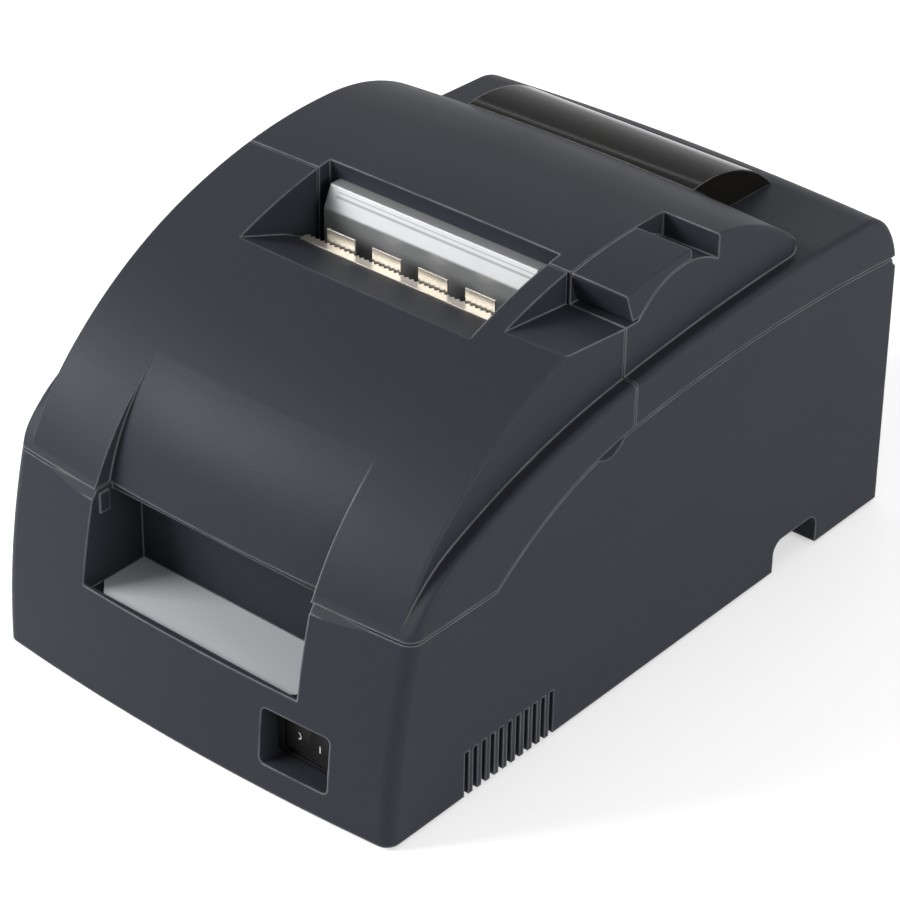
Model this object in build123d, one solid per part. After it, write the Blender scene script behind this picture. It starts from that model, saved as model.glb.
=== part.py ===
from build123d import *
import math
import os

# Desktop impact receipt printer with a front ribbon cover and a rear roll cover.
# Millimetres. +Z up, the front faces -Y, +X is to the right seen from the front.
# The origin is on the table, under the centre of the body.

# ---------------------------------------------------------------- driving sizes

# Clearances
running_gap = 0.05          # radial clearance of a shaft in its bore
part_gap = 0.3              # clearance between pieces that pass each other
seat_gap = 0.15             # a piece that drops into its place

# Body
body_width = 159.0
body_depth = 255.5
body_height = 138.5
foot_height = 1.5
wall = 2.4
bow_radius = 832.0          # plan bow of the front and of the rear
bow_margin = 60.0           # how far the forms run past the body before they are trimmed

# Datums that follow the body's sizes. The covers and the mechanism are laid out from the front
# face and the crown's top, the rear deck and its hinge from the rear face, and what stands
# near a side wall from that wall. Heights with no datum are measured from the table.
half_width = body_width / 2
front_y = -body_depth / 2
rear_y = body_depth / 2
core_y = front_y + 127.75
tail_y = rear_y - 127.75
core_z = body_height - 138.5
side_x = half_width - 79.5

# Front face, a single shallow arc in side view
face_radius = 268.0
face_centre_z = -2.8
corner_radius = 4.5         # upright front corners

# Ridge: the outer shoulder that climbs from the front face to the rear deck
ridge_peak_y = core_y + 74.1
ridge_peak_z = core_z + 114.5
ridge_turns = [(745.0, 8.0), (246.0, 16.0), (50.0, 36.0)]
ridge_edge_radius = 1.8

# Rear deck and rear face
deck_end_y = tail_y + 105.5
deck_end_z = core_z + 113.8
deck_fall = 0.8             # how much the deck falls over its length
deck_turns = [(18.0, 50.0), (30.0, 38.0)]
rear_lean = 1.2             # degrees from upright

# Crown: the raised middle that both covers share
crown_half_width = side_x + 74.4
crown_peak_y = core_y + 13.8
crown_turns = [(178.0, 22.0), (140.0, 23.0), (90.0, 21.0)]
crown_rear_y = core_y + 24.0
crown_rear_turns = [(74.0, 56.0)]
crown_plan_rear_y = core_y + 77.9
crown_plan_radius = 12.0
crown_edge_radius = 0.8

# Seams between the lower case and the covers
seam_gap = 0.6
front_seam_z = core_z + 67.4
front_seam_bend_y = core_y - 77.7
front_seam_mid = (core_y - 51.6, core_z + 83.4)
side_seam_y = core_y - 15.8
side_seam_z = core_z + 93.3
roll_seam_mid = (core_y + 38.4, core_z + 97.2)
roll_seam_rear = (tail_y + 116.1, core_z + 94.4)

# Alcove with the key panel
alcove_half_width = 43.8
alcove_floor_z = 34.3
alcove_rim_z = 37.0
alcove_rim_y = core_y - 122.5
alcove_back_y = core_y - 97.9
alcove_roof_y = core_y - 109.4
panel_thickness = 0.5
panel_margin = 0.6
panel_corner = 6.5

# Lip of the front cover over the alcove
lip_half_width = 43.6
lip_centre = (core_y - 44.5, core_z + 50.8)  # its arc leaves the crown almost tangent to it
lip_radius = 69.5
lip_top_z = core_z + 103.3

# Paper exit recess and the finger scoop in the front cover
exit_half_width = 45.3
exit_knee = (core_y - 31.5, core_z + 118.8)
exit_front_slope = 0.36
exit_reach = 26.0           # how far the recess is drawn ahead of its knee
exit_rear_z = core_z + 110.5
exit_slot_half_width = 41.6
exit_slot_front_y = core_y - 30.2
scoop_inner_x = side_x + 52.7
scoop_front_y = core_y - 42.1
scoop_rear_z = core_z + 125.1
scoop_slope = 0.1
scoop_reach = 6.0           # how far the scoop is drawn ahead of its visible edge

# Release lever
lever_inner_x = side_x + 54.0
lever_pivot = (core_y + 12.1, core_z + 106.0)
lever_cap_radius = 29.3
lever_nose_z = core_z + 134.6
lever_under_z = core_z + 126.0
lever_gap = 0.4
lever_rear_y = core_y + 14.8
lever_pocket_rear_y = core_y + 28.6
lever_swing = 14.0
lever_pin_radius = 1.5

# Smoked window
window_centre = (core_y + 68.8, core_z + 79.8)
window_radius = 49.0
window_wall = 2.0
window_left_x = -49.5
window_right_x = 41.0
window_margin = 3.0
window_sight_y = (core_y + 71.9, core_y + 98.0)       # the opening under the window
window_front_y = core_y + 60.5  # its front face stands inside the crown's roof

# Hinges of the covers
front_hinge = (core_y - 114.0, core_z + 64.7)
front_open = 55.0
front_pin_radius = 0.9
front_ear_radius = 1.8
front_ear_neck = (1.8, 3.6)  # the ear's neck stands this far behind the hinge line
front_ear_lead = 0.9        # how far ahead of the hinge line the ear's slot is open on top
front_ear_x = (46.4, 48.6)
front_lug_x = (48.9, 51.4)
roll_hinge = (tail_y + 122.6, core_z + 94.8)
roll_pin_radius = 1.2
roll_knuckle_radius = 2.6
roll_ear_x = (side_x + 56.0, side_x + 60.0)
roll_post_x = (side_x + 60.3, side_x + 64.3)
roll_sweep_radius = 4.1     # what the bowed rear edge of the cover sweeps about its hinge

# Switch recess in the front
switch_x = (side_x + 31.2, side_x + 56.8)
switch_z = (10.6, 29.8)
switch_depth = 16.0

# Vents low in both sides
vent_first_y = core_y - 89.9
vent_pitch = 3.9
vent_count = 11
vent_width = 2.0
vent_top_z = 17.5

# Cable pocket under the rear, and its side notch
pocket_half_width = side_x + 56.0
pocket_front_y = tail_y + 63.1
pocket_top_z = 30.0
pocket_mouth_half_width = side_x + 50.0
pocket_mouth_top_z = 22.0
notch_y = (tail_y + 63.1, tail_y + 87.1)
notch_top_z = 12.7
notch_radius = 4.5

# Base plate and its screws
floor_thickness = 2.0
plate_front_y = core_y - 120.8
plate_rear_y = tail_y + 60.2
screw_x = side_x + 70.0
screw_y = (core_y - 100.0, tail_y + 50.0)
screw_spots = [(x, y) for y in screw_y for x in (-screw_x, screw_x)]
boss_radius = 3.6
boss_height = 12.0
screw_radius = 1.5
screw_pilot_radius = 1.3
screw_length = 9.0

# Finger recesses under the front cover's side edges
tab_y = (core_y - 34.6, core_y - 20.8)
tab_depth = 1.6
tab_drop = 3.6
tab_lean = 45.0             # degrees that the recess's floor falls outwards
tab_seam_fall = 1.2         # how far the seam lies below its rear end there

# Roll cover's set-back front edge
notch_rear_y = core_y - 10.4
panel_foot_z = core_z + 101.0

feed_z = core_z + 103.0
paper_y = core_y - 22.6  # the paper stands here between head and platen

# Pressure rollers on the roll cover
pressure_radius = 3.4
pressure_shaft_radius = 1.2
pressure_centre = (paper_y + part_gap + pressure_radius, feed_z)
pressure_arms = [(-40.0, -37.6), (-1.2, 1.2), (37.6, 40.0)]

# Feet
foot_radius = 7.0
front_foot = (side_x + 62.0, core_y - 108.0)
rear_foot = (side_x + 67.0, tail_y + 112.0)
foot_places = [(side * x, y) for x, y in (front_foot, rear_foot) for side in (-1, 1)]

# Folded frame
frame_half_width = side_x + 61.2
frame_sheet = 1.2
frame_front_y = core_y - 92.0
frame_rear_y = core_y - 18.0
frame_floor_z = 26.0
frame_screw_y = (core_y - 86.0, core_y - 26.0)
frame_screw_spots = [(x, y) for y in frame_screw_y for x in (-50.0, 50.0)]
post_radius = 3.2
shelf_z = core_z + 52.4
shelf_x = 34.0
shelf_y = (core_y - 85.0, core_y - 57.0)
cheek_hole_y = (core_y - 83.0, core_y - 60.0)
cheek_crest = [(-92.0, 84.0), (-72.0, 101.0), (-46.0, 112.0), (-32.0, 114.2), (-22.0, 112.0),
               (-18.0, 106.0)]

# Carriage and its drive
shaft_centre = (core_y - 60.0, core_z + 74.0)
shaft_radius = 3.0
rail_y = (core_y - 47.0, core_y - 41.0)
rail_z = (core_z + 59.3, core_z + 60.5)
carriage_half_width = 15.0
carriage_y = (core_y - 70.0, core_y - 48.0)
carriage_z = (core_z + 66.0, core_z + 84.0)
pulley_x = frame_half_width - 13.2
pulley_y = core_y - 71.0
pulley_radius = 5.0
pulley_flange = 6.7
pulley_z = (core_z + 57.0, core_z + 64.0)
belt_thickness = 1.2
belt_z = (core_z + 58.0, core_z + 63.0)
pulley_shaft_radius = 1.5
motor_radius = 11.5

# Print head
head_centre_z = core_z + 79.0
head_radius = 10.5
head_fin_radius = 12.3
head_rear_y = core_y - 36.0
head_nose_y = core_y - 25.1
head_fin_count = 4

# Ribbon
ribbon_z = (core_z + 76.0, core_z + 84.0)
ribbon_y = (core_y - 24.3, core_y - 24.0)
cassette_half_width = frame_half_width - 5.2
cassette_ear_y = (core_y - 70.0, core_y - 62.0)
cassette_ear_z = (core_z + 93.0, core_z + 97.0)
knob_place = (-38.0, core_y - 62.0)
knob_tilt = 15.9
knob_radius = 6.0

# Paper feed
feed_centre = (paper_y - 5.5, feed_z)
feed_rubber_radius = 5.4
feed_shaft_radius = 2.5
feed_rubber_x = [(-38.0, -8.0), (8.0, 38.0)]
feed_motor_centre = (core_y - 37.6, core_z + 44.0)
gear_module = 0.8
feed_teeth = 36
transfer_teeth = 48
pinion_teeth = 12
gear_x = (-68.0 - side_x, -64.0 - side_x)
platen_y = (paper_y + 0.6, paper_y + 3.1)
platen_z = (core_z + 68.0, core_z + 90.0)

# Paper exit
bridge_y = (core_y - 32.0, core_y - 24.6)
bridge_z = (core_z + 109.9, core_z + 111.9)
tear_edge_y = core_y - 25.4
tear_front_y = core_y - 29.2
tear_z = (core_z + 116.8, core_z + 118.3)
tear_half_width = 41.0
tear_pitch = 2.0
tear_tooth = 1.0
guide_y = (core_y - 25.1, core_y - 24.6)
guide_top_z = core_z + 122.7
guide_tab_width = 11.5
guide_tab_pitch = 18.4
guide_tab_count = 4
bar_half_width = 41.0
bar_sheet = 1.2
bar_top = (core_y - 14.9, core_z + 131.5)
bar_bend = (core_y - 18.1, core_z + 124.3)
bar_foot_z = core_z + 109.0

# Roll bin
bin_centre = (core_y + 55.4, core_z + 83.0)
bin_floor_z = 40.5
bin_radius = bin_centre[1] - bin_floor_z
bin_wall = 2.0
bin_half_width = 41.0
bin_top_z = core_z + 90.0
bin_rib_x = 29.0

# Boards and connectors
board_y = (core_y - 88.0, core_y + 12.0)
board_half_width = side_x + 60.0
board_z = (10.0, 11.6)
interface_half_width = 42.0
interface_z = (6.0, 27.0)
connector_z = 16.0
inlet_x = 33.0
inlet_radius = 6.5
inlet_bore = 5.2
drawer_x = 15.0
data_x = -18.0
data_size = (34.0, 9.0)
jack_spread = 43.0

# Key panel and power switch
key_place = (20.0, core_y - 111.7)
key_size = (12.0, 8.0)
key_travel = 0.4
light_x = (-30.0, -22.0, -14.0)
light_radius = 1.5
panel_board_x = (-36.0, 27.4)
panel_board_z = (24.4, 26.0)
panel_post_x = (-33.8, 8.0)
bezel_y = (core_y - 118.5, core_y - 112.0)
rocker_x = (side_x + 35.4, side_x + 54.0)
rocker_z = (13.6, 25.0)
rocker_swing = 12.0

# ---------------------------------------------------------------- drawing helpers


def block(xs, ys, zs):
    """A box between two limits on each axis."""
    size = (xs[1] - xs[0], ys[1] - ys[0], zs[1] - zs[0])
    middle = ((xs[0] + xs[1]) / 2, (ys[0] + ys[1]) / 2, (zs[0] + zs[1]) / 2)
    return Pos(*middle) * Box(*size)


def rod_x(centre, radius, xs):
    """A round bar along X; centre is (y, z)."""
    middle = Pos((xs[0] + xs[1]) / 2, centre[0], centre[1])
    return middle * Rot(0, 90, 0) * Cylinder(radius, xs[1] - xs[0])


def rod_y(centre, radius, ys):
    """A round bar along Y; centre is (x, z)."""
    middle = Pos(centre[0], (ys[0] + ys[1]) / 2, centre[1])
    return middle * Rot(90, 0, 0) * Cylinder(radius, ys[1] - ys[0])


def rod_z(centre, radius, zs):
    """A round bar along Z; centre is (x, y)."""
    return Pos(centre[0], centre[1], (zs[0] + zs[1]) / 2) * Cylinder(radius, zs[1] - zs[0])


def side_prism(face, xs):
    """A side-view face, drawn in (y, z), pulled out between two X limits."""
    return Pos(xs[0], 0, 0) * extrude(Plane.YZ * face, xs[1] - xs[0])


def side_polygon(points, xs):
    """A straight-sided side-view outline pulled out between two X limits."""
    return side_prism(make_face(Polyline(*points, close=True)), xs)


def core_polygon(points, xs):
    """A side-view outline measured from the core datums, pulled out between two X limits."""
    return side_polygon([(core_y + y, core_z + z) for y, z in points], xs)


def both_sides(solid):
    """A solid and its mirror image in the middle plane."""
    return solid + mirror(solid, Plane.YZ)


def tangent_run(start, heading, turns):
    """Tangent arcs, one after the other; returns the edges, the end and its heading."""
    edges = []
    for radius, degrees in turns:
        arc = JernArc(start=start, tangent=heading, radius=radius, arc_size=degrees)
        edges.append(arc)
        start = arc @ 1
        heading = arc % 1
    return edges, start, heading


def bowed(face, axis_y):
    """A side-view face swung about an upright line, which gives it the plan bow."""
    upright = Axis((0, axis_y, 0), (0, 0, 1))
    half_swing = 10.0
    start = (Plane.YZ * face).rotate(upright, -half_swing)
    return revolve(start, upright, 2 * half_swing)


# ---------------------------------------------------------------- outer forms

front_axis_y = front_y + bow_radius
rear_axis_y = rear_y - bow_radius
under_z = -bow_margin
over_z = body_height + bow_margin
far_rear_y = rear_y + bow_margin
far_front_y = front_y - bow_margin


def front_face_y(z, inset=0.0):
    """Where the front face stands at a height, on the middle plane."""
    radius = face_radius - inset
    return front_y + face_radius - math.sqrt(radius ** 2 - (z - face_centre_z) ** 2)


def front_form(inset):
    """Everything behind the front face."""
    heights = (under_z, (under_z + over_z) / 2, over_z)
    arc = ThreePointArc(*[(front_face_y(z, inset), z) for z in heights])
    back = Polyline(arc @ 1, (far_rear_y, over_z), (far_rear_y, under_z), arc @ 0)
    return bowed(make_face([arc, back]), front_axis_y)


def under_curve(start, turns, inset, axis_y, heading):
    """Everything under a curve that falls from its peak towards one end."""
    turning = 1 if heading[0] < 0 else -1
    eased = [(radius - inset, turning * degrees) for radius, degrees in turns]
    edges, end, run = tangent_run((start[0], start[1] - inset), heading, eased)
    reach = 2 * bow_margin
    low = (end.X + run.X * reach, end.Y + run.Y * reach)
    back_y = -far_front_y if heading[0] < 0 else far_front_y
    rest = Polyline(end, low, (low[0], under_z), (back_y, under_z),
                    (back_y, start[1] - inset), edges[0] @ 0)
    return bowed(make_face(edges + [rest]), axis_y)


def ridge_form(inset):
    return under_curve((ridge_peak_y, ridge_peak_z), ridge_turns, inset, front_axis_y, (-1, 0))


def crown_front_form(inset):
    return under_curve((crown_peak_y, body_height), crown_turns, inset, front_axis_y, (-1, 0))


def crown_rear_form(inset):
    return under_curve((crown_rear_y, body_height), crown_rear_turns, inset, rear_axis_y, (1, 0))


def deck_form(inset):
    """The rear deck, its rounded end and the rear face."""
    deck_slope = deck_fall / (deck_end_y - ridge_peak_y)
    length = math.hypot(1.0, deck_slope)
    heading = (1.0 / length, -deck_slope / length)
    start = (deck_end_y, deck_end_z - inset)
    turns = [(radius - inset, -degrees) for radius, degrees in deck_turns]
    edges, end, _ = tangent_run(start, heading, turns)
    fall = end.Y - under_z
    low = (end.X + fall * math.tan(math.radians(rear_lean)), under_z)
    rise = (deck_end_y - far_front_y) * deck_slope
    rest = Polyline(end, low, (far_front_y, under_z), (far_front_y, start[1] + rise), edges[0] @ 0)
    return bowed(make_face(edges + [rest]), rear_axis_y)


def body_form(inset):
    """The shouldered body, outside (inset 0) or inside (inset of one wall)."""
    side = half_width - inset
    box = block((-side, side), (far_front_y, far_rear_y), (foot_height, over_z))
    upright = box & front_form(inset)
    corners = upright.edges().filter_by(lambda e: abs(abs(e.center().X) - side) < 0.01
                                        and e.center().Y < front_y / 2 and e.length > 40)
    upright = fillet(corners, corner_radius - inset / 2)
    form = upright & ridge_form(inset) & deck_form(inset)
    if inset == 0:
        tops = form.edges().filter_by(lambda e: abs(abs(e.center().X) - side) < 0.01
                                      and e.center().Z > front_seam_z)
        form = fillet(tops, ridge_edge_radius)
    return form


def crown_form(inset):
    """The raised crown with upright sides, run down into the body."""
    side = crown_half_width - inset
    box = block((-side, side), (far_front_y, far_rear_y), (front_seam_z / 2, over_z))
    form = box & front_form(inset) & crown_front_form(inset) & crown_rear_form(inset)
    if inset == 0:
        tops = form.edges().filter_by(lambda e: abs(abs(e.center().X) - side) < 0.01
                                      and e.center().Z > front_seam_z
                                      and e.center().Y < crown_plan_rear_y)
        form = fillet(tops, crown_edge_radius)
    plan_rear = crown_plan_rear_y - inset
    plan = Pos(0, (plan_rear + far_front_y) / 2) * RectangleRounded(
        2 * side, plan_rear - far_front_y, crown_plan_radius - inset)
    return form & extrude(plan, over_z)


# ---------------------------------------------------------------- seams

wide = (-body_width, body_width)
front_joint_y = side_seam_y - seam_gap / 2
roll_joint_y = side_seam_y + seam_gap / 2


def above_front_seam():
    """The space over the seam between the lower case and the front cover."""
    bend = (front_seam_bend_y, front_seam_z)
    level = Line((far_front_y, front_seam_z), bend)
    climb = ThreePointArc(bend, front_seam_mid, (side_seam_y, side_seam_z))
    rest = Polyline((side_seam_y, side_seam_z), (side_seam_y, over_z),
                    (far_front_y, over_z), (far_front_y, front_seam_z))
    return side_prism(make_face([level, climb, rest]), wide)


def above_roll_seam():
    """The space over the seam between the lower case and the roll cover."""
    arch = ThreePointArc((side_seam_y, side_seam_z), roll_seam_mid, roll_seam_rear)
    rest = Polyline(roll_seam_rear, (far_rear_y, roll_seam_rear[1]), (far_rear_y, over_z),
                    (side_seam_y, over_z), (side_seam_y, side_seam_z))
    return side_prism(make_face([arch, rest]), wide)


def raised(zone):
    """A zone lifted by the seam gap."""
    return Pos(0, 0, seam_gap) * zone


outer_body = body_form(0.0)
outer = outer_body + crown_form(0.0)
inner = body_form(wall) + crown_form(wall)
shell = outer - inner
front_zone = above_front_seam()
roll_zone = above_roll_seam()
front_space = raised(front_zone) & block(wide, (far_front_y, front_joint_y), (0, over_z))
roll_space = raised(roll_zone) & block(wide, (roll_joint_y, far_rear_y), (0, over_z))

# ---------------------------------------------------------------- lower case


def switch_cavity():
    """The space in the front wall that the switch bezel fills."""
    middle_x = (switch_x[0] + switch_x[1]) / 2
    middle_z = (switch_z[0] + switch_z[1]) / 2
    face = RectangleRounded(switch_x[1] - switch_x[0], switch_z[1] - switch_z[0], 2.0)
    solid = extrude(Plane.XZ * Pos(middle_x, middle_z) * face, 20, both=True)
    return Pos(0, front_y + 10, 0) * solid


def vent_slots():
    slots = None
    for index in range(vent_count):
        middle = vent_first_y + index * vent_pitch
        ys = (middle - vent_width / 2, middle + vent_width / 2)
        slot = block((half_width - 2 * wall, half_width + 1), ys, (0, vent_top_z))
        slots = slot if slots is None else slots + slot
    return both_sides(slots)


def cable_notch():
    """Side notch for the cables, with rounded upper corners."""
    upper = (notch_top_z - foot_height)
    face = RectangleRounded(notch_y[1] - notch_y[0], 2 * upper, notch_radius)
    solid = side_prism(Pos((notch_y[0] + notch_y[1]) / 2, foot_height) * face,
                       (pocket_half_width - wall, half_width + 1))
    return solid


def tab_recess():
    """A leaning round cut, as deep as the wall allows."""
    lean = math.radians(tab_lean)
    half_length = (tab_y[1] - tab_y[0]) / 2
    sag = tab_drop * math.cos(lean)
    radius = (half_length ** 2 + sag ** 2) / (2 * sag)
    place = Pos(half_width, (tab_y[0] + tab_y[1]) / 2, side_seam_z - tab_seam_fall - tab_drop)
    cut = place * Rot(0, 90 + tab_lean, 0) * Pos(-radius, 0, 0) * Cylinder(radius, 8 * wall)
    return cut & block((half_width - tab_depth, half_width + wall), (far_front_y, 0), (0, over_z))


def front_bevel():
    """The bevelled top edge that the front cover tips over, about its hinge line."""
    y, z = front_hinge
    tip = math.radians(front_open)
    reach = front_seam_z + seam_gap - z - part_gap
    lean = (math.cos(tip), math.sin(tip))
    foot = (y - reach * lean[1], z + reach * lean[0])
    inner_end = (foot[0] + 4 * lean[0], foot[1] + 4 * lean[1])
    outer_end = (foot[0] - 2 * lean[0], foot[1] - 2 * lean[1])
    ahead_y = outer_end[0] - 5 * wall
    above_z = z + 5 * wall
    points = [inner_end, outer_end, (ahead_y, outer_end[1]), (ahead_y, above_z),
              (inner_end[0], above_z)]
    return side_polygon(points, wide)


def ear_clearance():
    """The slot that one front hinge ear turns in."""
    xs = (front_ear_x[0] - part_gap, front_ear_x[1] + part_gap)
    y, z = front_hinge
    reach = front_ear_radius + part_gap
    behind = block(xs, (y - front_ear_lead, y + front_ear_neck[1] + 2 * part_gap),
                   (z - reach, front_seam_z + wall))
    return rod_x(front_hinge, reach, xs) + behind


def lower_case():
    case = shell - front_zone - roll_zone
    # alcove tub
    inside_x = (-alcove_half_width, alcove_half_width)
    tub_x = (-alcove_half_width - wall, alcove_half_width + wall)
    tub = block(tub_x, (far_front_y, alcove_back_y + wall), (alcove_floor_z - wall, front_seam_z))
    case += tub & outer - front_zone
    lower = block(inside_x, (alcove_rim_y, alcove_back_y), (alcove_floor_z, front_seam_z - wall))
    mouth = block(inside_x, (far_front_y, alcove_roof_y), (alcove_rim_z, over_z))
    case -= lower + mouth
    case -= Pos(0, 0, 0.1) * key_hole(part_gap)
    for x in light_x:
        case -= rod_z((x, key_place[1]), light_radius, (alcove_floor_z - 2 * wall, alcove_floor_z))
    # switch recess
    tub = block((switch_x[0] - wall, switch_x[1] + wall), (far_front_y, front_y + switch_depth),
                (switch_z[0] - wall, switch_z[1] + wall / 2))
    case += tub & outer
    case -= switch_cavity()
    # rear tub over the cable pocket, with its side floors
    tub = block((-pocket_half_width - wall, pocket_half_width + wall),
                (pocket_front_y - wall, far_rear_y), (foot_height, pocket_top_z + wall))
    floor = block(wide, (pocket_front_y - wall, far_rear_y), (foot_height, foot_height + wall))
    case += (tub + floor) & outer
    case -= block((-pocket_half_width, pocket_half_width), (pocket_front_y, rear_y - 2 * wall),
                  (0, pocket_top_z))
    case -= block((-pocket_mouth_half_width, pocket_mouth_half_width),
                  (pocket_front_y, far_rear_y), (0, pocket_mouth_top_z))
    channel = block((pocket_half_width - 1, half_width + 1),
                    (notch_y[0] - wall, notch_y[1] + wall), (foot_height, notch_top_z + wall))
    case += channel & outer
    case -= cable_notch()
    case -= block((-interface_half_width, interface_half_width), (pocket_front_y - 2 * wall,
                  pocket_front_y + 1), (interface_z[0], interface_z[1]))
    case -= vent_slots()
    # screw bosses for the base plate
    for x, y in screw_spots:
        boss = rod_z((x, y), boss_radius, (foot_height + floor_thickness, boss_height))
        web_end = math.copysign(half_width - wall / 2, x)
        web = block((min(x, web_end), max(x, web_end)), (y - 1, y + 1),
                    (foot_height + floor_thickness, boss_height))
        pilot = rod_z((x, y), screw_pilot_radius, (foot_height, boss_height - 1))
        case += (boss + web) - pilot
    # finger recesses under the front cover's side edge, with floors that slope outwards
    case -= both_sides(tab_recess())
    # hinges of the front cover: bevel, ear slots, lugs and their bores
    case -= front_bevel()
    lug_y = (front_hinge[0] - 1.0, front_hinge[0] + 3.0)
    lug = block((front_ear_x[0] - 3.0, front_lug_x[1]), lug_y,
                (front_hinge[1] - 6.0, front_hinge[1] + 0.9)) & outer - front_bevel()
    case += both_sides(lug)
    case -= both_sides(ear_clearance())
    case -= both_sides(rod_x(front_hinge, front_pin_radius + running_gap,
                             (front_ear_x[0] - 2.0, front_lug_x[1] - 0.6)))
    # rear edge cleared for the cover's swing, and the hinge posts
    case -= rod_x(roll_hinge, roll_sweep_radius, wide)
    neck = block(roll_post_x, (roll_hinge[0] - roll_knuckle_radius, roll_hinge[0] + 2.2),
                 (roll_hinge[1] - 10.0, roll_hinge[1]))
    post = neck + rod_x(roll_hinge, roll_knuckle_radius, roll_post_x)
    case += both_sides(post)
    case -= both_sides(rod_x(roll_hinge, roll_pin_radius, roll_post_x))
    return case


# ---------------------------------------------------------------- front cover

def lip_form(inset):
    """Everything behind the steep lip surface over the alcove."""
    radius = lip_radius - inset
    low = front_seam_z - 10
    high = lip_top_z + 5

    def lip_y(z):
        return lip_centre[0] - math.sqrt(radius ** 2 - (z - lip_centre[1]) ** 2)

    arc = ThreePointArc(*[(lip_y(z), z) for z in (low, (low + high) / 2, high)])
    back = Polyline(arc @ 1, (0, high), (0, low), arc @ 0)
    return bowed(make_face([arc, back]), front_axis_y)


def exit_pocket(drop, xs):
    """The paper exit recess, or with a drop the space its liner fills."""
    knee_y, knee_z = exit_knee
    fore = knee_y - exit_reach
    points = [(fore, knee_z + (knee_y - fore) * exit_front_slope - drop), (knee_y, knee_z - drop),
              (roll_joint_y, exit_rear_z - drop), (roll_joint_y, over_z), (fore, over_z)]
    return side_polygon(points, xs)


def scoop_pocket(drop, xs, front_extra):
    """The finger scoop ahead of the release lever, or the space its liner fills."""
    fore = scoop_front_y - scoop_reach - front_extra
    points = [(fore, scoop_rear_z + (side_seam_y - fore) * scoop_slope - drop),
              (roll_joint_y, scoop_rear_z - drop), (roll_joint_y, over_z), (fore, over_z)]
    return side_polygon(points, xs)


def front_cover():
    cover = shell & front_space
    skin = outer & front_space
    # lip over the alcove
    liner_x = (-lip_half_width - wall, lip_half_width + wall)
    liner = block(liner_x, (far_front_y, lip_centre[0]), (front_seam_z, lip_top_z)) & skin
    cover += liner - lip_form(wall)
    opening = block((-lip_half_width, lip_half_width), (far_front_y, lip_centre[0]), (0, lip_top_z))
    cover -= opening - lip_form(0)
    # paper exit
    liner = exit_pocket(wall, (-exit_half_width - wall, exit_half_width + wall)) & skin
    cover += liner
    cover -= exit_pocket(0, (-exit_half_width, exit_half_width))
    cover -= block((-exit_slot_half_width, exit_slot_half_width),
                   (exit_slot_front_y, roll_joint_y), (panel_foot_z, over_z))
    # finger scoop
    liner = scoop_pocket(wall, (scoop_inner_x - wall, half_width), wall) & skin
    cover += liner
    cover -= scoop_pocket(0, (scoop_inner_x, half_width + 1), 0)
    # hinge ears and their stub pins
    y, z = front_hinge
    near, far = front_ear_neck
    neck = block(front_ear_x, (y + near, y + far), (z - front_ear_radius, front_seam_z + 2.5 * wall))
    arm = block(front_ear_x, (y, y + far), (z - front_ear_radius, z + front_ear_radius / 2))
    ear = neck + arm + rod_x(front_hinge, front_ear_radius, front_ear_x)
    ear += rod_x(front_hinge, front_pin_radius, (front_ear_x[1] - 0.1, front_lug_x[1] - 0.8))
    return cover + both_sides(ear)


# ---------------------------------------------------------------- roll cover


def lever_pocket(radius, shelf_drop, xs, rear_y_limit):
    """Space over the lever's round floor; the liner uses a smaller radius."""
    space = block(xs, (side_seam_y - 5, rear_y_limit), (scoop_rear_z - shelf_drop, over_z))
    return space - rod_x(lever_pivot, radius, (xs[0] - 1, xs[1] + 1))


def window_opening():
    return block((window_left_x + window_wall + window_margin,
                  window_right_x - window_wall - window_margin),
                 window_sight_y, (deck_end_z - 10 * wall, over_z))


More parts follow.
